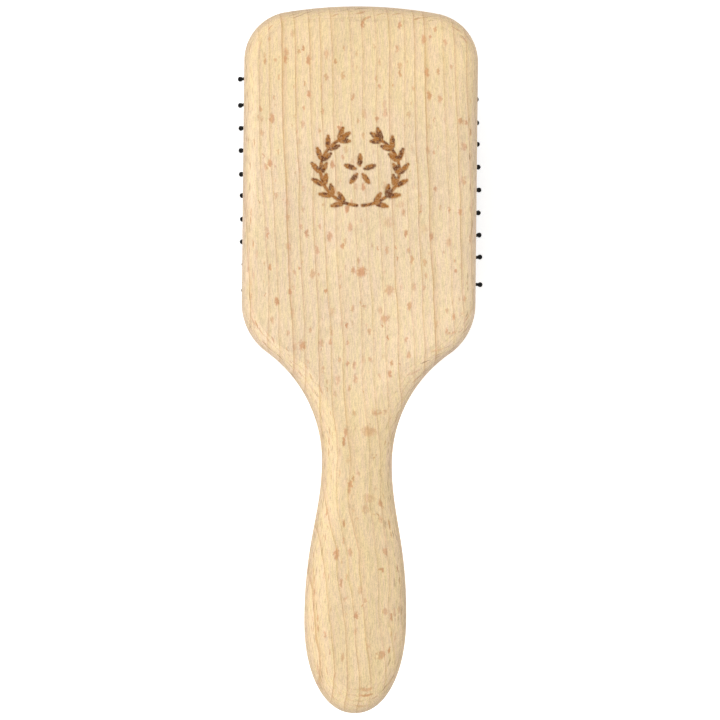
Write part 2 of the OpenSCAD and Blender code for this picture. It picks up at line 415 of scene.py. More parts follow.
def speckle_group():
    """Fine speckle that may be drawn out along Y, used by every finish."""
    graph = Graph.group(
        "fine speckle",
        "ShaderNodeTree",
        {"Place": (0.0, 0.0, 0.0), "Grain": 0.5, "Stretch": 1.0, "Contrast": 1.0},
        {"Mask": 0.0, "Height": 0.0},
    )
    grain = graph.given("Grain")
    cell = graph.vector(grain, grain * graph.given("Stretch"), grain)
    value = graph.noise(graph.vector_sum("DIVIDE", graph.given("Place"), cell), 3.0)
    mask = (value - 0.5) * graph.given("Contrast") * 2 + 0.5
    graph.give("Mask", mask.most(0).least(1))
    graph.give("Height", value)
    return graph.tree


def speckle(graph, place, grain, stretch=1.0, contrast=1.0):
    """Places the speckle group and returns its mask and height."""
    values = {"Place": place, "Grain": grain, "Stretch": stretch, "Contrast": contrast}
    node = graph.place("ShaderNodeGroup", shared_group(speckle_group, "fine speckle"), values)
    return Field(graph, node.outputs["Mask"]), Field(graph, node.outputs["Height"])


def ray_group():
    """Flat bodies scattered through the wood, as its rays are, cut open by the surface."""
    graph = Graph.group(
        "wood rays",
        "ShaderNodeTree",
        {
            "Place": (0.0, 0.0, 0.0),
            "Cell": (16.0, 5.0, 2.6),
            "Half Size": (6.0, 1.2, 0.17),
            "Slant": 0.0,
            "Ragged": 0.3,
        },
        {"Mask": 0.0},
    )
    place = graph.given("Place")
    cell = graph.given("Cell")
    waves = graph.add("ShaderNodeTexNoise", {"Vector": place, "Scale": 0.9, "Detail": 2.0})
    ripple = graph.vector_sum("SUBTRACT", waves.outputs["Color"], (0.5, 0.5, 0.5))
    ripple = graph.vector_sum("SCALE", ripple, graph.given("Ragged"))
    cells = graph.vector_sum("DIVIDE", graph.vector_sum("ADD", place, ripple), cell)
    voronoi = graph.add("ShaderNodeTexVoronoi", {"Vector": cells, "Scale": 1.0})
    offset = graph.vector_sum("SUBTRACT", cells, voronoi.outputs["Position"])
    across, along, through = graph.split(graph.vector_sum("MULTIPLY", offset, cell))
    across = across + along * graph.given("Slant")
    offset = graph.vector_sum("DIVIDE", graph.vector(across, along, through), graph.given("Half Size"))
    size, strength, _ = graph.split(voronoi.outputs["Color"])
    reach = Field(graph, graph.vector_sum("LENGTH", offset)) / (size * 0.9 + 0.35)
    graph.give("Mask", reach.ramp(1.15, 0.5) * (strength * 0.65 + 0.35))
    return graph.tree


def shared_group(builder, name):
    """A group by name, built when it is first asked for."""
    return bpy.data.node_groups.get(name) or builder()


def rays(graph, **values):
    """Places the ray group."""
    tree = shared_group(ray_group, "wood rays")
    named = {name.replace("_", " ").title(): value for name, value in values.items()}
    return Field(graph, graph.place("ShaderNodeGroup", tree, named).outputs["Mask"])


# --- finishes ---


def beech_material(finish):
    """Raw beech: growth rings, rays, fine pores and the burnt wreath."""
    material, graph, shader, place = new_material("raw beech")
    ring_width = 4.5
    ring_tilt = math.radians(-11)
    edge_shade = 0.28
    x, y, z = graph.split(place)
    down = board_high.y * PER_MM - y
    lean = down * 0.02 + down * down * 0.0002
    unruly = down.ramp(70.0, 160.0)
    wave = graph.noise(graph.vector(x / 22, y / 38, z / 22), 1.0) - 0.5
    flutter = graph.noise(graph.vector(x / 6, y / 9, z / 6), 1.0) - 0.5
    # The grain frame: X runs across the rings and Z along them, and it leans down the board.
    wandering = x - lean + wave * (unruly * 5 + 2.2) + flutter * (unruly * 0.9 + 0.35)
    radial = wandering * math.cos(ring_tilt) + z * math.sin(ring_tilt)
    tangent = z * math.cos(ring_tilt) - x * math.sin(ring_tilt)

    uneven = graph.noise(graph.vector(radial / 8, 0.0, 0.0), 0.0) - 0.5
    rings = (radial + uneven * 5) / ring_width
    number = rings.step("FLOOR")
    share = rings - number
    chance = graph.add("ShaderNodeTexWhiteNoise", {"W": number}, noise_dimensions="1D")
    each = Field(graph, chance.outputs[0])
    patchy = graph.noise(graph.vector(radial / 5, y / 30, z / 5), 1.0)
    line = share.ramp(0.11, 0.04) * 0.55 + share.ramp(0.45, 0.0) * 0.55
    line = line * (each * 0.6 + 0.4) * (patchy * 1.2 + 0.35)

    # Which way the surface faces, and how flat it lies.
    facing = graph.add("ShaderNodeAttribute", attribute_name="facing").outputs["Vector"]
    normal = graph.split(facing)
    upright = abs(normal[2])
    side = upright.ramp(0.93, 0.35)
    grain_place = graph.vector(radial, y, tangent)
    slant = down.ramp(30.0, 110.0) * -0.75 + 0.4
    flecks = rays(
        graph,
        place=grain_place,
        cell=(6.6, 4.0, 1.1),
        half_size=(3.1, 1.75, 0.155),
        slant=slant,
        ragged=0.4,
    )
    broad = rays(
        graph,
        place=graph.vector_sum("ADD", grain_place, (40.0, 17.0, 9.0)),
        cell=(14.0, 12.0, 4.0),
        half_size=(6.0, 2.1, 0.34),
        slant=slant,
        ragged=0.8,
    )
    flecks = flecks.most(broad * down.ramp(55.0, 90.0))
    dashes = rays(
        graph,
        place=graph.vector_sum("ADD", grain_place, (3.0, 71.0, 5.0)),
        cell=(4.5, 6.0, 0.95),
        half_size=(2.6, 1.7, 0.12),
        ragged=0.3,
    )
    dashes = dashes * upright.ramp(0.985, 0.86)
    fibres, fibre_height = speckle(graph, place, 0.34, 8.0, 1.7)
    pores, pore_height = speckle(graph, place, 0.24, 1.8, 2.2)
    streaks, _ = speckle(graph, grain_place, 0.9, 11.0, 1.8)
    cloud, _ = speckle(graph, place, 18.0, 2.6, 2.0)

    # Thin arcs where the rings run out on the rounded ends of the board.
    depth = (board_high.z * PER_MM - z).most(0) ** 0.5
    levels = (depth * 2.6 + wave * 2.4 + flutter) % 1.0
    ends = abs(normal[1]).ramp(0.04, 0.2) * upright.ramp(0.3, 0.7)
    arcs = abs(levels - 0.5).ramp(0.12, 0.02) * ends * patchy.ramp(0.3, 0.6)

    wood = graph.mix(line, tuple(finish.pale_wood), tuple(finish.ring_wood))
    wood = graph.mix(side * 0.55, wood, tuple(finish.side_wood))
    wood = graph.mix(flecks * (1 - side) * 0.95, wood, tuple(finish.fleck_wood))
    wood = graph.mix((flecks * side).most(dashes).least(0.8) * 0.7, wood, tuple(finish.dash_wood))
    wood = graph.mix(arcs * 0.5, wood, tuple(finish.ring_wood))
    light = (fibres - 0.5) * 0.2 + (pores - 0.5) * 0.16 + (cloud - 0.5) * 0.08 + 1
    light = light + share.ramp(0.72, 0.98) * 0.03
    # Painted shade darkens the round-overs and sides as they turn from upright. A faint darker line also
    # runs just inside the round-overs.
    light = light - upright.ramp(0.97, 0.35) * edge_shade
    light = light - upright.ramp(0.9995, 0.996) * upright.ramp(0.95, 0.985) * 0.05
    # Painted light: a slightly paler strip runs along the left round-over, which faces the key light.
    left_painted_light = upright.ramp(0.985, 0.95) * upright.ramp(0.6, 0.85) * normal[0].ramp(-0.1, -0.25)
    light = light + left_painted_light * 0.03
    wood = graph.mix(1.0, wood, graph.vector(light, light, light), "MULTIPLY")
    tint = graph.mix(streaks, (1.0, 0.975, 1.02), (0.985, 1.0, 0.9))
    wood = graph.mix(1.0, wood, tint, "MULTIPLY")
    paler = down.ramp(15.0, 60.0) * down.ramp(150.0, 120.0)
    tint = graph.mix(paler, (1.015, 1.03, 1.03), (1.02, 1.055, 1.14))
    wood = graph.mix(1.0, wood, tint, "MULTIPLY")

    burn = Field(graph, graph.add("ShaderNodeAttribute", attribute_name="burn").outputs["Fac"])
    uneven_burn, _ = speckle(graph, place, 1.6, 1.0, 3.2)
    fine_burn, _ = speckle(graph, place, 0.35, 1.0, 2.5)
    deep = uneven_burn.ramp(0.5, 1.0) * 0.8
    char = graph.mix(deep, tuple(finish.scorch), tuple(finish.deep_scorch))
    burn_share = burn * (fine_burn * 0.3 + 0.78).least(1)
    graph.feed(shader.inputs["Base Color"], graph.mix(burn_share, wood, char))
    graph.feed(shader.inputs["Roughness"], fibres * 0.12 + burn * 0.3 + 0.55)
    shader.inputs["Specular IOR Level"].default_value = 0.3
    height = fibre_height * 0.5 + pore_height * 0.5 - line * 0.25 - flecks * 0.15
    bump(graph, shader, height, 0.05 * MM)
    return material


def rubber_material(finish):
    """Matte black rubber with a fine moulded grain and a little bloom."""
    material, graph, shader, place = new_material("matte rubber")
    grain, height = speckle(graph, place, 0.35, 1.0, 1.5)
    bloom, _ = speckle(graph, place, 9.0, 1.0, 2.0)
    base = tuple(finish.rubber)
    paler = tuple(value * 1.7 for value in base)
    graph.feed(shader.inputs["Base Color"], graph.mix(grain * 0.3 + bloom * 0.45, base, paler))
    graph.feed(shader.inputs["Roughness"], bloom * 0.14 + grain * 0.1 + 0.48)
    shader.inputs["Specular IOR Level"].default_value = 0.4
    bump(graph, shader, height, 0.03 * MM)
    return material


def nylon_material(finish):
    """Smooth black nylon."""
    material, graph, shader, place = new_material("black nylon")
    grain, height = speckle(graph, place, 0.5, 4.0, 1.4)
    base = tuple(finish.nylon)
    paler = tuple(value * 1.8 for value in base)
    graph.feed(shader.inputs["Base Color"], graph.mix(grain * 0.6, base, paler))
    graph.feed(shader.inputs["Roughness"], grain * 0.12 + 0.3)
    shader.inputs["Specular IOR Level"].default_value = 0.1
    bump(graph, shader, height, 0.006 * MM)
    return material


def cotton_material(finish):
    """Plain-woven cotton: threads go over and under each other."""
    material, graph, shader, place = new_material("woven cotton")
    thread = 0.55
    x, y, _ = graph.split(place)
    warp = (x * (math.pi / thread)).step("SINE")
    weft = (y * (math.pi / thread)).step("SINE")
    over = (warp * weft).ramp(-0.25, 0.25)
    crown = abs(weft) * over + abs(warp) * (1 - over)
    fuzz, fuzz_height = speckle(graph, place, 0.15, 1.0, 2.0)
    # Painted shade: the hollows between the thread crowns get a darker copy of the cotton.
    shaded = tuple(value * 0.55 for value in finish.cotton)
    thread_colour = graph.mix(crown * 0.75 + fuzz * 0.25, shaded, tuple(finish.cotton))
    graph.feed(shader.inputs["Base Color"], thread_colour)
    graph.feed(shader.inputs["Roughness"], fuzz * 0.1 + 0.85)
    bump(graph, shader, crown * 0.8 + fuzz_height * 0.2, 0.15 * MM)
    return material


def floor_material(finish):
    """Seamless studio paper."""
    material, graph, shader, place = new_material("studio paper")
    tooth, height = speckle(graph, place, 0.8, 1.0, 1.0)
    base = tuple(finish.floor)
    deeper = tuple(value * 0.98 for value in base)
    graph.feed(shader.inputs["Base Color"], graph.mix(tooth, deeper, base))
    graph.feed(shader.inputs["Roughness"], tooth * 0.05 + 0.9)
    shader.inputs["Specular IOR Level"].default_value = 0.1
    shader.inputs["Emission Color"].default_value = (1.0, 1.0, 1.0, 1.0)
    shader.inputs["Emission Strength"].default_value = 0.5
    bump(graph, shader, height, 0.02 * MM)
    return material


# --- shapes ---


def smooth(share):
    """The smooth step from 0 to 1."""
    share = np.clip(share, 0, 1)
    return share * share * (3 - 2 * share)


def arc(centre, radius, start, end):
    """Points along an arc, its angles in radians, about a millimetre apart."""
    steps = max(8, math.ceil(abs(end - start) * radius / MM))
    turns = np.linspace(start, end, steps + 1)
    return np.array(centre) + radius * np.column_stack([np.cos(turns), np.sin(turns)])


def bezier(points, steps=56):
    """Points along a cubic curve."""
    share = np.linspace(0, 1, steps + 1)[:, None]
    rest = 1 - share
    weights = (rest**3, 3 * rest**2 * share, 3 * rest * share**2, share**3)
    return sum(weight * np.array(point) for weight, point in zip(weights, points))


def rounded_ring(half_width, half_length, radius, corner_steps=16, side_steps=18):
    """Points round a rounded rectangle about the origin."""
    centres = np.array([[1, 1], [-1, 1], [-1, -1], [1, -1]]) * (half_width - radius, half_length - radius)
    points = []
    for corner, centre in enumerate(centres):
        turns = np.radians(90 * corner + np.linspace(0, 90, corner_steps + 1))
        bend = centre + radius * np.column_stack([np.cos(turns), np.sin(turns)])
        side_end = bend[-1] + centres[(corner + 1) % 4] - centre
        points += [bend, np.linspace(bend[-1], side_end, side_steps, endpoint=False)[1:]]
    return np.concatenate(points)


def at_height(ring, height):
    """A flat ring as points in space."""
    return np.column_stack([ring, np.broadcast_to(height, len(ring))])


def ring_quads(rings, count, wrap=False, first=0):
    """Quads between neighbouring rings of count points each."""
    spans = rings if wrap else rings - 1
    quads = []
    for span in range(spans):
        here = first + span * count
        there = first + (span + 1) % rings * count
        for point in range(count):
            beside = (point + 1) % count
            quads.append((here + point, there + point, there + beside, here + beside))
    return quads


def new_mesh(name, points, faces):
    """A welded mesh whose faces point outwards, smooth but for its sharp edges."""
    mesh = bpy.data.meshes.new(name)
    mesh.from_pydata(np.asarray(points, float).tolist(), [], faces)
    shape = bmesh.new()
    shape.from_mesh(mesh)
    bmesh.ops.remove_doubles(shape, verts=shape.verts, dist=WELD)
    bmesh.ops.recalc_face_normals(shape, faces=shape.faces)
    shape.to_mesh(mesh)
    shape.free()
    shade(mesh)
    return mesh


def shade(mesh):
    """Smooth shading, with an edge kept sharp where the surface turns quickly."""
    mesh.shade_smooth()
    mesh.set_sharp_from_angle(angle=math.radians(38))


def store(mesh, name, kind, values):
    """Stores a value or a vector on every point of a mesh."""
    field = "vector" if kind == "FLOAT_VECTOR" else "value"
    mesh.attributes.new(name, kind, "POINT").data.foreach_set(field, values)


def new_piece(name, mesh, material=None):
    """An object in the scene, at the origin."""
    piece = bpy.data.objects.new(name, mesh)
    bpy.context.scene.collection.objects.link(piece)
    if material is not None:
        mesh.materials.append(material)
    return piece


def triangulated(points, loops):
    """Triangles of flat points inside closed loops, worked out in millimetres."""
    edges = []
    start = 0
    for count in loops:
        edges += [(start + i, start + (i + 1) % count) for i in range(count)]
        start += count
    flat = [Vector(point) * PER_MM for point in points.tolist()]
    found, _, faces, *_ = delaunay_2d_cdt(flat, edges, [], 1, 1e-6)
    return np.array(found) * MM, faces


# --- the board ---


def board_outline(board):
    """Right half of the board's outline, as x and distance from the head's far end."""
    half = board_high.x
    total = board_high.y - board_low.y
    neck = board.head_length + board.shoulder_length
    grip = total - board.grip_back
    corner_x = half - board.corner_radius
    corner_at = board.arch_radius - math.sqrt((board.arch_radius - board.corner_radius) ** 2 - corner_x**2)
    corner_turn = math.atan2(board.arch_radius - corner_at, corner_x)
    arch = arc((0, board.arch_radius), board.arch_radius, -math.pi / 2, -corner_turn)
    corner = arc((corner_x, corner_at), board.corner_radius, -corner_turn, 0)
    side = np.linspace((half, corner_at), (half, board.head_length), 42)

    # The concave sweep touches the shoulder arc and the neck's narrowest place.
    shoulder = board.shoulder_radius
    inset = board.neck_width / 2 - half + shoulder
    sweep = (board.shoulder_length**2 + inset**2 - shoulder**2) / (2 * (shoulder - inset))
    turn = math.asin(board.shoulder_length / (shoulder + sweep))
    shoulder_arc = arc((half - shoulder, board.head_length), shoulder, 0, turn)
    sweep_arc = arc((board.neck_width / 2 + sweep, neck), sweep, math.pi + turn, math.pi)

    run = grip - neck
    neck_half = board.neck_width / 2
    grip_half = board.grip_width / 2
    swell = bezier(
        [(neck_half, neck), (neck_half, neck + run / 3), (grip_half, grip - run / 2), (grip_half, grip)]
    )
    # The grip's end is a little fuller than half an ellipse.
    fullness = 2 / 2.15
    turns = np.linspace(0, math.pi / 2, 64)
    end = np.column_stack(
        [
            grip_half * np.maximum(np.cos(turns), 0) ** fullness,
            grip + board.grip_back * np.sin(turns) ** fullness,
        ]
    )
    end[-1, 0] = 0
    parts = [arch, corner, side, shoulder_arc, sweep_arc, swell, end]
    return np.concatenate([parts[0], *(part[1:] for part in parts[1:])])


def board_thickness(board, down):
    """Thickness of the wood at a distance from the head's far end."""
    total = board_high.y - board_low.y
    start = board.head_length + board.shoulder_length / 2
    share = smooth((down - start) / (total - board.grip_back - start))
    return board.head_thickness + (board.grip_thickness - board.head_thickness) * share


def board_ring(board, half, turn, is_back, inset=0.0):
    """One ring round the wood: its outline moved inwards along lines to the spine."""
    down = half[:, 1]
    total = board_high.y - board_low.y
    spine = np.column_stack([np.zeros(len(half)), np.clip(down, 32 * MM, total - 14 * MM)])
    reach = np.linalg.norm(spine - half, axis=1)
    share = smooth((down - board.head_length) / board.shoulder_length)
    thick = board_thickness(board, down)
    edge = board.back_round if is_back else board.front_round
    # The head has round-overs, and the grip is rounded almost all the way across.
    grip_share = 0.86
    grip_flat = 0.6 * MM
    round_in = edge + (grip_share * reach - edge) * share
    round_down = edge + ((thick - grip_flat) / 2 - edge) * share
    inwards = (round_in * (1 - math.cos(turn)) + inset) / reach
    moved = half + (spine - half) * inwards[:, None]
    sink = round_down * (1 - math.sin(turn))
    height = board_high.z - sink if is_back else board_high.z - thick + sink
    right = np.column_stack([moved[:, 0], board_high.y - moved[:, 1], height])
    left = right[-2:0:-1] * (-1, 1, 1)
    return np.concatenate([right, left])


def grid_inside(ring, spacing, margin):
    """Points of a square grid that lie inside a ring by a margin."""
    half = ring[: len(ring) // 2 + 1]
    ys = np.arange(half[:, 1].min() + margin, half[:, 1].max() - margin, spacing)
    xs = np.arange(-board_high.x, board_high.x, spacing)
    points = np.array(np.meshgrid(xs, ys)).reshape(2, -1).T
    width = np.interp(points[:, 1], half[::-1, 1], half[::-1, 0])
    return points[np.abs(points[:, 0]) < width - margin]


def leaf_strokes(root, lean, size):
    """A filled pointed leaf as strokes that widen and narrow again; lean is from straight up."""
    along = np.array([math.sin(lean), math.cos(lean)])
    ends = root + np.outer([0.0, 0.3, 0.5, 0.75, 1.0], along) * size
    widths = (0.9, 1.7, 1.7, 1.0)
    return [(ends[i : i + 2], width) for i, width in enumerate(widths)]


def wreath_strokes():
    """The burnt wreath about its middle: each stroke's line and width, in millimetres."""
    half_width = 13.6
    half_height = 12.2
    petals = 5
    strokes = []
    for side in (-1, 1):
        turns = np.radians(np.linspace(-86, 58, 40))
        branch = np.column_stack([side * half_width * np.cos(turns), half_height * np.sin(turns)])
        strokes.append((branch, 1.0))
        for turn in np.radians(np.linspace(-68, 56, 7)):
            root = np.array([side * half_width * math.cos(turn), half_height * math.sin(turn)])
            for splay, size in ((0.62, 4.6), (-0.62, 3.9)):
                strokes += leaf_strokes(root, side * (splay - turn), size)
        strokes += leaf_strokes(branch[-1], side * -0.95, 4.2)
    for turn in np.arange(petals) * math.tau / petals:
        root = np.array([math.sin(turn), math.cos(turn)]) * 1.7
        strokes += leaf_strokes(root, turn, 3.6)
    return strokes


def stroke_gap(points, middle):
    """Distance in millimetres from points of the back to the nearest burnt stroke."""
    flat = (points - middle) * PER_MM
    nearest = np.full(len(flat), np.inf)
    for line, width in wreath_strokes():
        for start, end in zip(line[:-1], line[1:]):
            along = end - start
            share = np.clip((flat - start) @ along / max(along @ along, 1e-9), 0, 1)
            gap = np.linalg.norm(flat - start - share[:, None] * along, axis=1) - width / 2
            nearest = np.minimum(nearest, gap)
    return nearest


def wreath_grid(middle):
    """Points of a fine square grid on and close to the burnt strokes."""
    step = 0.25
    closest = 0.8
    grid = np.array(np.meshgrid(np.arange(-18, 18, step), np.arange(-16, 17, step)))
    grid = grid.reshape(2, -1).T * MM + middle
    return grid[stroke_gap(grid, middle) < closest]


def burn_in(mesh, middle, depth):
    """Sinks the strokes into the flat back, and stores how far each point is burnt."""
    soft_edge = 0.45
    place = np.array([vertex.co for vertex in mesh.vertices])
    burn = 1 - smooth((stroke_gap(place[:, :2], middle) + soft_edge / 3) / soft_edge)
    burn *= place[:, 2] > board_high.z - WELD
    place[:, 2] -= burn * depth
    mesh.vertices.foreach_set("co", place.ravel())
    store(mesh, "burn", "FLOAT", burn)
    mesh.update()


def board_mesh(board, recess):
    """The board's closed mesh, with its recess, groove and burnt wreath."""
    half = board_outline(board)
    bands = 12
    turns = np.linspace(0, math.pi / 2, bands + 1)
    rings = [board_ring(board, half, turn, True) for turn in turns[::-1]]
    rings += [board_ring(board, half, turn, False) for turn in turns]
    count = len(rings[0])
    points = [np.concatenate(rings)]
    faces = ring_quads(len(rings), count)
    grid = 4 * MM
    clear = 2 * MM

    # The flat back, with a fine grid only where the wreath is burnt in.
    mark = np.array([0, board_high.y - board.mark_from_end])
    inner = board_ring(board, half, math.pi / 2, True, 0.5 * MM)[:, :2]
    coarse = grid_inside(rings[0], grid, clear)
    fine = wreath_grid(mark)
    coarse = coarse[np.abs(coarse - mark).max(1) > 19 * MM]
    back, back_faces = triangulated(np.concatenate([rings[0][:, :2], inner, coarse, fine]), [count])
    start = len(points[0])
    points.append(at_height(back, board_high.z))
    faces += [[start + i for i in face] for face in back_faces]
    start += len(back)

    # The front round the recess, and then the lip, wall, groove and floor.
    lip = board.lip_radius
    depths = np.linspace(0, math.pi / 2, 5)
    steps = [(lip * (1 - math.sin(turn)), recess.front + lip * (1 - math.cos(turn))) for turn in depths]
    groove = recess.floor - board.groove_height
    steps += [(0, groove), (board.groove_reach, groove), (board.groove_reach, recess.floor)]
    plans = [at_height(recess.ring(out) + (0, recess.middle), height) for out, height in steps]
    inner = board_ring(board, half, math.pi / 2, False, 0.5 * MM)[:, :2]
    coarse = grid_inside(rings[-1], grid, clear)
    coarse = coarse[recess.depth_inside(coarse) < -lip - clear / 2]
    loops = [rings[-1][:, :2], plans[0][:, :2]]
    front, front_faces = triangulated(np.concatenate([*loops, inner, coarse]), [count, len(plans[0])])
    middles = np.array([front[list(face)].mean(0) for face in front_faces])
    outside = recess.depth_inside(middles) < -lip
    thick = board_thickness(board, board_high.y - front[:, 1])
    points.append(at_height(front, board_high.z - thick))
    faces += [[start + i for i in face] for face, keep in zip(front_faces, outside) if keep]
    start += len(front)
    points.append(np.concatenate(plans))
    faces += ring_quads(len(plans), len(plans[0]), first=start)
    last = start + (len(plans) - 1) * len(plans[0])
    points.append(np.array([[0, recess.middle, recess.floor]]))
    centre = start + len(plans) * len(plans[0])
    faces += [(last + i, last + (i + 1) % len(plans[0]), centre) for i in range(len(plans[0]))]

    mesh = new_mesh("beech_board", np.concatenate(points), faces)
    burn_in(mesh, mark, board.mark_depth)
    facing = np.array([vertex.normal for vertex in mesh.vertices])
    store(mesh, "facing", "FLOAT_VECTOR", facing.ravel())
    return mesh


# --- the crown rule that the cushion, the cloth and the pins follow ---


def crown_sizes(settings):
    """Inputs of the crown rule, by name."""
    recess = Recess(settings.board)
    cushion = settings.cushion
    return {
        "Half Width": recess.half_width - cushion.gap,
        "Half Length": recess.half_length - cushion.gap,
        "Corner Radius": recess.radius - cushion.gap,
        "Roll Width": cushion.roll_width,
        "Roll Height": cushion.roll_height,
        "Swell Height": cushion.swell_height,
    }


CROWN_INPUTS = dict.fromkeys(
    ["Half Width", "Half Length", "Corner Radius", "Roll Width", "Roll Height", "Swell Height"], 0.01
)


def crown_height_group():
    """Height of the cushion over the front of the wood, at a place about its middle."""
    graph = Graph.group(
        "crown height", "GeometryNodeTree", {"Place": (0.0, 0.0, 0.0), **CROWN_INPUTS}, {"Height": 0.0}
    )
    x, y, _ = graph.split(graph.given("Place"))
    radius = graph.given("Corner Radius")
    across = abs(x) - graph.given("Half Width") + radius
    along = abs(y) - graph.given("Half Length") + radius
    corner = (across.most(0) ** 2 + along.most(0) ** 2) ** 0.5
    edge = radius - corner - across.most(along).least(0)
    flat = 1 - (edge.most(0) / graph.given("Roll Width")).least(1)
    roll = (1 - flat * flat).most(0) ** 0.5
    swell = (1 - (abs(x) / graph.given("Half Width")) ** 2) * (
        1 - (abs(y) / graph.given("Half Length")) ** 6
    )
    graph.give("Height", roll * graph.given("Roll Height") + swell * graph.given("Swell Height"))
    return graph.tree


def crown_point_group():
    """A place laid on the crown and pushed in by a depth, with the crown's outward direction."""
    graph = Graph.group(
        "crown point",
        "GeometryNodeTree",
        {"Place": (0.0, 0.0, 0.0), "Depth": 0.0, **CROWN_INPUTS},
        {"Point": (0.0, 0.0, 0.0), "Outwards": (0.0, 0.0, 0.0)},
    )
    height_tree = shared_group(crown_height_group, "crown height")
    x, y, _ = graph.split(graph.given("Place"))
    step = 0.05 * MM

    def height_at(move_x, move_y):
        sizes = {name: graph.given(name) for name in CROWN_INPUTS}
        sizes["Place"] = graph.vector(x + move_x, y + move_y, 0.0)
        return Field(graph, graph.place("GeometryNodeGroup", height_tree, sizes).outputs["Height"])

    slope_x = height_at(-step, 0) - height_at(step, 0)
    slope_y = height_at(0, -step) - height_at(0, step)
    outwards = graph.vector_sum("NORMALIZE", graph.vector(slope_x, slope_y, -2 * step))
    surface = graph.vector(x, y, height_at(0, 0) * -1)
    inwards = graph.vector_sum("SCALE", outwards, graph.given("Depth") * -1)
    graph.give("Point", graph.vector_sum("ADD", surface, inwards))
    graph.give("Outwards", outwards)
    return graph.tree


def on_crown(graph, depth):
    """The crown point node, fed with each point's own place and the tree's sizes."""
    values = {name: graph.given(name) for name in CROWN_INPUTS}
    values["Place"] = graph.add("GeometryNodeInputPosition").outputs[0]
    values["Depth"] = depth
    tree = shared_group(crown_point_group, "crown point")
    return graph.place("GeometryNodeGroup", tree, values)


def named_value(graph, name, kind="FLOAT"):
    """A value stored on the points."""
    node = graph.add("GeometryNodeInputNamedAttribute", {"Name": name}, data_type=kind)
    return Field(graph, next(socket for socket in node.outputs if socket.enabled))


def turned(graph, stations, sides):
    """A closed shape turned about Z, from stations of height and radius, bottom to top."""
    spans = len(stations) - 1
    tube = graph.add(
        "GeometryNodeMeshCylinder",
        {"Vertices": sides, "Side Segments": spans, "Radius": 1.0, "Depth": 1.0},
        fill_type="TRIANGLE_FAN",
    )
    x, y, z = graph.split(graph.add("GeometryNodeInputPosition").outputs[0])
    number = ((z + 0.5) * spans).step("ROUND")
    picks = []
    for values in zip(*stations):
        switch = graph.add("GeometryNodeIndexSwitch", data_type="FLOAT")
        while len(switch.index_switch_items) < len(values):
            switch.index_switch_items.new()
        graph.feed(switch.inputs[0], number)
        for place, value in enumerate(values, 1):
            graph.feed(switch.inputs[place], value)
        picks.append(Field(graph, switch.outputs[0]))
    height, radius = picks
    spoke = graph.vector_sum("SCALE", graph.vector_sum("NORMALIZE", graph.vector(x, y, 0.0)), radius)
    target = graph.vector_sum("ADD", spoke, graph.vector(0.0, 0.0, height))
    moved = {"Geometry": tube.outputs[0], "Position": target}
    return graph.add("GeometryNodeSetPosition", moved).outputs[0]


def repeated(graph, points, shape, direction):
    """A shape set on every point, its Z along a direction."""
    align = graph.add("FunctionNodeAlignRotationToVector", {"Vector": direction}, axis="Z")
    return graph.add(
        "GeometryNodeInstanceOnPoints",
        {"Points": points, "Instance": shape, "Rotation": align.outputs[0]},
    ).outputs[0]


def finished(graph, geometry):
    """Real geometry with its material, moved from the plan to its place on the brush."""
    real = graph.add("GeometryNodeRealizeInstances", {0: geometry}).outputs[0]
    moved = graph.add(
        "GeometryNodeTransform", {"Geometry": real, "Translation": graph.given("Middle")}
    ).outputs[0]
    material = {"Geometry": moved, "Material": graph.given("Material")}
    graph.give("Geometry", graph.add("GeometryNodeSetMaterial", material).outputs[0])


def cushion_tree(material):
    """Lays a flat blank on the crown and sets a collar at every socket."""
    graph = Graph.group(
        "cushion on its crown",
        "GeometryNodeTree",
        {
            "Geometry": None,
            "Middle": (0.0, 0.0, 0.0),
            "Socket Width": 0.0037,
            "Socket Height": 0.0005,
            "Material": material,
            **CROWN_INPUTS,
        },
        {"Geometry": None},
    )
    parts = graph.add(
        "GeometryNodeSeparateGeometry",
        {"Geometry": graph.given("Geometry"), "Selection": named_value(graph, "is_socket", "BOOLEAN")},
    )
    skin = graph.add(
        "GeometryNodeSetPosition",
        {
            "Geometry": parts.outputs["Inverted"],
            "Selection": named_value(graph, "on_crown", "BOOLEAN"),
            "Position": on_crown(graph, named_value(graph, "depth")).outputs["Point"],
        },
    ).outputs[0]
    crown = on_crown(graph, 0.0)
    sites = graph.add(
        "GeometryNodeSetPosition",
        {"Geometry": parts.outputs["Selection"], "Position": crown.outputs["Point"]},
    ).outputs[0]
    half = graph.given("Socket Width") / 2
    rise = graph.given("Socket Height")
    profile = [(-0.5, 1.0), (0.1, 1.0), (0.55, 0.86), (0.9, 0.68), (1.0, 0.56), (0.8, 0.47)]
    collar = turned(graph, [(rise * height, half * radius) for height, radius in profile], 16)
    collars = repeated(graph, sites, collar, crown.outputs["Outwards"])
    joined = graph.add("GeometryNodeJoinGeometry")
    graph.feed(joined.inputs[0], skin)
    graph.feed(joined.inputs[0], collars)
    finished(graph, joined.outputs[0])
    return graph.tree


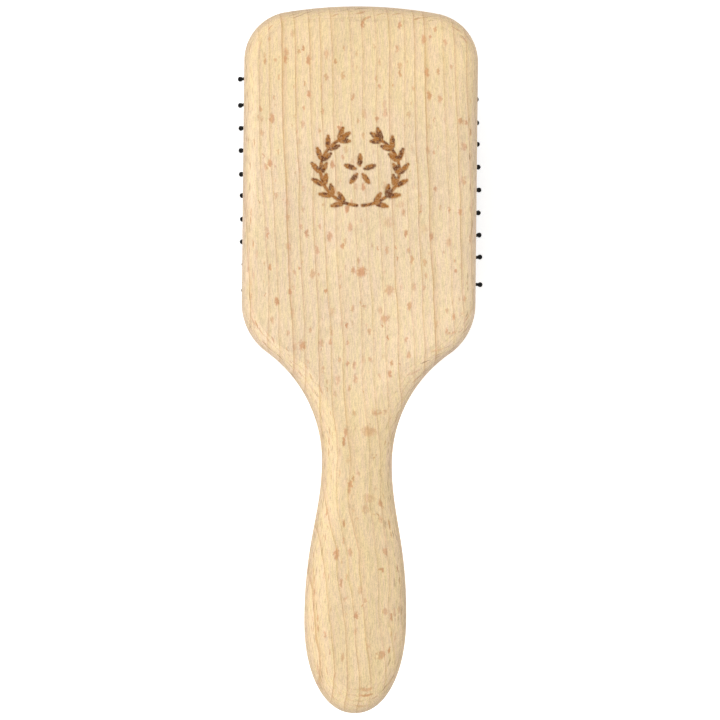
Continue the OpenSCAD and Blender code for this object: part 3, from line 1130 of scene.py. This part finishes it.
def pin_tree(material):
    """Sets a ball-tipped pin on the crown at every point."""
    graph = Graph.group(
        "pins on the crown",
        "GeometryNodeTree",
        {
            "Geometry": None,
            "Middle": (0.0, 0.0, 0.0),
            "Length": 0.023,
            "Ball Width": 0.0019,
            "Neck Width": 0.0011,
            "Root Width": 0.0017,
            "Head Width": 0.003,
            "Head Thickness": 0.001,
            "Head Depth": 0.002,
            "Skew": 0.0,
            "Wander": 0.0,
            "Sides": 10,
            "Seed": 0,
            "Material": material,
            **CROWN_INPUTS,
        },
        {"Geometry": None},
    )
    crown = on_crown(graph, 0.0)
    sites = graph.add(
        "GeometryNodeSetPosition", {"Geometry": graph.given("Geometry"), "Position": crown.outputs["Point"]}
    ).outputs[0]

    # The tip lies along the crown's direction, and the field of tips is turned a little.
    reach = graph.vector_sum("SCALE", crown.outputs["Outwards"], graph.given("Length"))
    root = crown.outputs["Point"]
    tip = graph.vector_sum("ADD", root, reach)
    turned_tip = graph.add(
        "ShaderNodeVectorRotate", {"Vector": tip, "Angle": graph.given("Skew")}, rotation_type="Z_AXIS"
    ).outputs[0]
    chance = graph.add(
        "FunctionNodeRandomValue",
        {0: (-1.0, -1.0, 0.0), 1: (1.0, 1.0, 0.0), "Seed": graph.given("Seed")},
        data_type="FLOAT_VECTOR",
    ).outputs[0]
    drift = graph.vector_sum("SCALE", chance, graph.given("Wander") * graph.given("Length"))
    direction = graph.vector_sum("ADD", graph.vector_sum("SUBTRACT", turned_tip, root), drift)

    ball = graph.given("Ball Width") / 2
    neck = graph.given("Neck Width") / 2
    shank = graph.given("Root Width") / 2
    head = graph.given("Head Width") / 2
    under = graph.given("Head Depth") * -1
    centre = graph.given("Length") - ball
    meeting = (ball * ball - neck * neck) ** 0.5
    stations = [
        (under - graph.given("Head Thickness"), head),
        (under, head),
        (under, shank),
        (0.0, shank),
        (centre - meeting, neck),
    ]
    for degrees in (-22, 14, 46, 74):
        turn = math.radians(degrees)
        stations.append((centre + ball * math.sin(turn), ball * math.cos(turn)))
    pin = turned(graph, stations, graph.given("Sides"))
    finished(graph, repeated(graph, sites, pin, direction))
    return graph.tree


def grown(name, blank, tree, values):
    """Runs a tree on a blank, and keeps the result as a plain mesh."""
    piece = new_piece(name, blank)
    modifier = piece.modifiers.new(tree.name, "NODES")
    modifier.node_group = tree
    for socket in tree.interface.items_tree:
        if socket.in_out == "INPUT" and socket.name in values:
            modifier[socket.identifier] = values[socket.name]
    evaluated = piece.evaluated_get(bpy.context.evaluated_depsgraph_get())
    plain = bpy.data.meshes.new_from_object(evaluated)
    piece.modifiers.remove(modifier)
    piece.data = plain
    bpy.data.meshes.remove(blank)
    plain.name = name
    shade(plain)
    return piece


def crown_values(settings, material):
    """Values of the inputs that every tree on the crown has."""
    recess = Recess(settings.board)
    middle = (0.0, recess.middle, recess.front)
    return {"Middle": middle, "Material": material, **crown_sizes(settings)}


class CrownPlans:
    """Plans of the cushion from near its edge to its middle, for blanks."""

    def __init__(self, settings):
        self.sizes = crown_sizes(settings)
        self.roll = settings.cushion.roll_width

    def plan(self, inset, scale=1.0):
        names = ("Half Width", "Half Length", "Corner Radius")
        half_width, half_length, radius = (self.sizes[name] - inset for name in names)
        return rounded_ring(half_width, half_length, radius) * scale

    def inwards(self, first):
        """Plans in to the middle, close together where the crown rolls over."""
        shares = (1 - np.cos(np.linspace(0, math.pi / 2, 15))) ** 1.4
        rolled = [self.plan(first + (self.roll - first) * share) for share in shares]
        return rolled + [self.plan(self.roll, scale) for scale in np.linspace(0.9, 0.2, 8)]

    def circle(self, radius):
        """A ring whose points face the same way as a plan's."""
        ring = self.plan(self.roll)
        return ring / np.linalg.norm(ring, axis=1)[:, None] * radius


def column_rows(settings, number):
    """Places of a column's pins about the middle; every other column is half a pitch out."""
    pins = settings.pins
    recess = Recess(settings.board)
    middle = (len(COLUMNS) + 1) / 2
    x = (number - middle) * (recess.half_width - pins.edge_margin) / (middle - 1)
    offset = pins.row_pitch / 2 if number % 2 else 0
    most = math.ceil(recess.half_length / pins.row_pitch)
    rows = np.arange(-most, most + 1) * pins.row_pitch + offset
    places = np.column_stack([np.full(len(rows), x), rows])
    return places[recess.depth_inside(places + (0, recess.middle)) >= pins.corner_margin]


def blank_mesh(name, rings, sockets=()):
    """A closed blank of rings; each ring has its plan, its depth, and whether it is on the crown."""
    count = len(rings[0][0])
    points = [at_height(plan, 0.0 if crown else depth) for plan, depth, crown in rings]
    mesh = bpy.data.meshes.new(name)
    places = np.concatenate([*points, *(at_height(site, 0.0) for site in sockets)])
    mesh.from_pydata(places.tolist(), [], ring_quads(len(rings), count, wrap=True))
    extra = len(places) - len(rings) * count
    depth = np.repeat([ring[1] for ring in rings], count).tolist() + [0.0] * extra
    crown = np.repeat([ring[2] for ring in rings], count).tolist() + [False] * extra
    socket = [False] * (len(places) - extra) + [True] * extra
    store(mesh, "depth", "FLOAT", depth)
    store(mesh, "on_crown", "BOOLEAN", crown)
    store(mesh, "is_socket", "BOOLEAN", socket)
    shape = bmesh.new()
    shape.from_mesh(mesh)
    bmesh.ops.recalc_face_normals(shape, faces=shape.faces)
    shape.to_mesh(mesh)
    shape.free()
    return mesh


def cushion_blank(settings):
    """Outer skin, vent, inner skin and flange of the cushion, still flat."""
    cushion = settings.cushion
    board = settings.board
    recess = Recess(board)
    plans = CrownPlans(settings)
    vent = cushion.vent_width / 2
    rim = cushion.vent_rim
    thick = cushion.membrane
    reach = board.groove_reach - cushion.gap
    floor = recess.floor - recess.front
    flange = floor - board.groove_height + 2 * cushion.gap
    rings = [(plan, 0.0, True) for plan in plans.inwards(0)]
    # The vent's raised rim, from its foot inwards to the hole.
    for width, depth in ((3.0, 0.0), (2.4, -0.25 * rim), (1.9, -rim), (1.35, -rim), (1.0, -0.6 * rim)):
        rings.append((plans.circle(vent * width), depth, True))
    rings.append((plans.circle(vent), thick, True))
    rings.append((plans.circle(vent * 3), thick, True))
    inner = thick + 0.4 * MM
    rings += [(plan, thick, True) for plan in plans.inwards(inner)[::-1]]
    rings.append((plans.plan(thick), -cushion.wall_rise, False))
    rings.append((plans.plan(thick), floor, False))
    rings.append((plans.plan(-reach), floor, False))
    rings.append((plans.plan(-reach), flange, False))
    rings.append((plans.plan(0), flange, False))
    sockets = [column_rows(settings, number) for number in range(1, len(COLUMNS) + 1)]
    return blank_mesh("cushion_blank", rings, sockets)


def cloth_blank(settings):
    """Both faces of the backing cloth, still flat."""
    cushion = settings.cushion
    pins = settings.pins
    plans = CrownPlans(settings)
    outer = cushion.membrane + pins.head_gap + pins.head_thickness + cushion.cloth_gap
    faces = plans.inwards(cushion.cloth_inset) + [plans.circle(cushion.vent_width / 2)]
    rings = [(plan, outer, True) for plan in faces]
    rings += [(plan, outer + cushion.cloth_thickness, True) for plan in faces[::-1]]
    return blank_mesh("cloth_blank", rings)


# --- operators ---


class HAIRBRUSH_OT_board(bpy.types.Operator):
    """Build the beech board, with its recess and burnt wreath"""

    bl_idname = "hairbrush.board"
    bl_label = "Board"

    def execute(self, context):
        settings = context.scene.hairbrush
        mesh = board_mesh(settings.board, Recess(settings.board))
        board = new_piece("beech_board", mesh, beech_material(settings.finish))
        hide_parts("wood_body")
        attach(board, "brush_body")
        return {"FINISHED"}


class HAIRBRUSH_OT_cushion(bpy.types.Operator):
    """Build the rubber cushion with its pin sockets and air vent"""

    bl_idname = "hairbrush.cushion"
    bl_label = "Cushion"

    def execute(self, context):
        settings = context.scene.hairbrush
        values = crown_values(settings, rubber_material(settings.finish))
        values["Socket Width"] = settings.cushion.socket_width
        values["Socket Height"] = settings.cushion.socket_height
        tree = cushion_tree(values["Material"])
        cushion = grown("air_cushion", cushion_blank(settings), tree, values)
        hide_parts("cushion_pad")
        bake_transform(cushion)
        return {"FINISHED"}


class HAIRBRUSH_OT_cloth(bpy.types.Operator):
    """Build the cotton cloth that backs the pin heads"""

    bl_idname = "hairbrush.cloth"
    bl_label = "Backing cloth"

    def execute(self, context):
        settings = context.scene.hairbrush
        values = crown_values(settings, cotton_material(settings.finish))
        tree = cushion_tree(values["Material"])
        cloth = grown("backing_cotton", cloth_blank(settings), tree, values)
        inset = settings.cushion.cloth_inset
        flat = [2 * (values[name] - inset) for name in ("Half Width", "Half Length")]
        corners = (4 - math.pi) * (values["Corner Radius"] - inset) ** 2
        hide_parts("backing_cloth")
        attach(cloth, "press_carrier")
        flat[0] * flat[1] - corners
        return {"FINISHED"}


class HAIRBRUSH_OT_pins(bpy.types.Operator):
    """Build the nylon pins, one object for each lengthwise column"""

    bl_idname = "hairbrush.pins"
    bl_label = "Pins"

    def execute(self, context):
        settings = context.scene.hairbrush
        pins = settings.pins
        values = crown_values(settings, nylon_material(settings.finish))
        values |= {
            "Length": pins.length,
            "Ball Width": pins.ball_width,
            "Neck Width": pins.neck_width,
            "Root Width": pins.root_width,
            "Head Width": pins.head_width,
            "Head Thickness": pins.head_thickness,
            "Head Depth": settings.cushion.membrane + pins.head_gap,
            "Skew": pins.skew,
            "Wander": math.tan(pins.wander),
            "Sides": pins.sides,
        }
        tree = pin_tree(values["Material"])
        for number, body in enumerate(COLUMNS, 1):
            sites = bpy.data.meshes.new("pin_sites")
            sites.from_pydata(at_height(column_rows(settings, number), 0.0).tolist(), [], [])
            values["Seed"] = pins.seed + number
            column = grown(f"ball_pins_{number}", sites, tree, values)
            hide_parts(f"pin_column_{number}")
            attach(column, body)
        return {"FINISHED"}


class HAIRBRUSH_OT_stage(bpy.types.Operator):
    """Set up the floor, the soft lights and the camera"""

    bl_idname = "hairbrush.stage"
    bl_label = "Stage"

    def execute(self, context):
        scene = context.scene
        half_floor = 3.0
        floor = rounded_ring(half_floor, half_floor, 0.5)
        paper = new_mesh("studio_floor", at_height(floor, 0.0), [list(range(len(floor)))])
        paper.polygons[0].use_smooth = False
        new_piece("studio_floor", paper, floor_material(scene.hairbrush.finish))

        scene.world = bpy.data.worlds.new("studio")
        scene.world.use_nodes = True
        background = scene.world.node_tree.nodes["Background"]
        background.inputs["Color"].default_value = (1.0, 1.0, 1.0, 1.0)
        # The surround looks white, while the brush gets a softer light from it.
        lit = 0.6
        surround = Graph(scene.world.node_tree)
        seen = Field(surround, surround.add("ShaderNodeLightPath").outputs["Is Camera Ray"])
        surround.feed(background.inputs["Strength"], seen * (1 - lit) + lit)
        centre = (cad_bounds[0] + cad_bounds[1]) / 2
        soft_light("key", centre, Vector((-0.75, -0.25, 0.85)), 0.9, 6.6)
        soft_light("fill", centre, Vector((0.9, 0.2, 0.9)), 1.1, 2.2)
        soft_light("far", centre, Vector((-0.1, 1.1, 0.8)), 1.0, 2.2)
        scene.view_settings.view_transform = "Standard"

        data = bpy.data.cameras.new("camera")
        camera = bpy.data.objects.new("camera", data)
        scene.collection.objects.link(camera)
        distance = 1.6
        width_seen = 0.2497
        turn = math.radians(0.6)
        side_height = (board_high.z + board_low.z) / 2
        data.lens = data.sensor_width * distance / width_seen
        data.clip_start = 0.1
        camera.location = (0.7 * MM, 0, side_height + distance)
        camera.rotation_euler = (0, 0, turn)
        scene.camera = camera
        return {"FINISHED"}


def soft_light(name, target, offset, size, power):
    """A square soft light that faces the target."""
    data = bpy.data.lights.new(name, "AREA")
    data.size = size
    data.energy = power
    light = bpy.data.objects.new(name, data)
    light.location = target + offset
    light.rotation_euler = (-offset).to_track_quat("-Z", "Y").to_euler()
    bpy.context.scene.collection.objects.link(light)


class HAIRBRUSH_PT_panel(bpy.types.Panel):
    """Sizes, colours and the steps that build the brush"""

    bl_idname = "HAIRBRUSH_PT_panel"
    bl_label = "Hairbrush"
    bl_space_type = "VIEW_3D"
    bl_region_type = "UI"
    bl_category = "Hairbrush"

    def draw(self, context):
        settings = context.scene.hairbrush
        for part in (settings.board, settings.cushion, settings.pins, settings.finish):
            box = self.layout.box()
            for name in part.__annotations__:
                box.prop(part, name)
        for operator in OPERATORS:
            self.layout.operator(operator.bl_idname)


OPERATORS = (
    HAIRBRUSH_OT_board,
    HAIRBRUSH_OT_cushion,
    HAIRBRUSH_OT_cloth,
    HAIRBRUSH_OT_pins,
    HAIRBRUSH_OT_stage,
)
CLASSES = (
    BoardSettings,
    CushionSettings,
    PinSettings,
    FinishSettings,
    HairbrushSettings,
    *OPERATORS,
    HAIRBRUSH_PT_panel,
)


def register():
    """Adds the classes and the settings."""
    for each in CLASSES:
        bpy.utils.register_class(each)
    bpy.types.Scene.hairbrush = bpy.props.PointerProperty(type=HairbrushSettings)


def unregister():
    """Removes them again."""
    del bpy.types.Scene.hairbrush
    for each in reversed(CLASSES):
        bpy.utils.unregister_class(each)


def main():
    """Builds the whole brush."""
    register()
    bpy.ops.hairbrush.board()
    bpy.ops.hairbrush.cushion()
    bpy.ops.hairbrush.cloth()
    bpy.ops.hairbrush.pins()
    bpy.ops.hairbrush.stage()


if __name__ == "__main__":
    main()
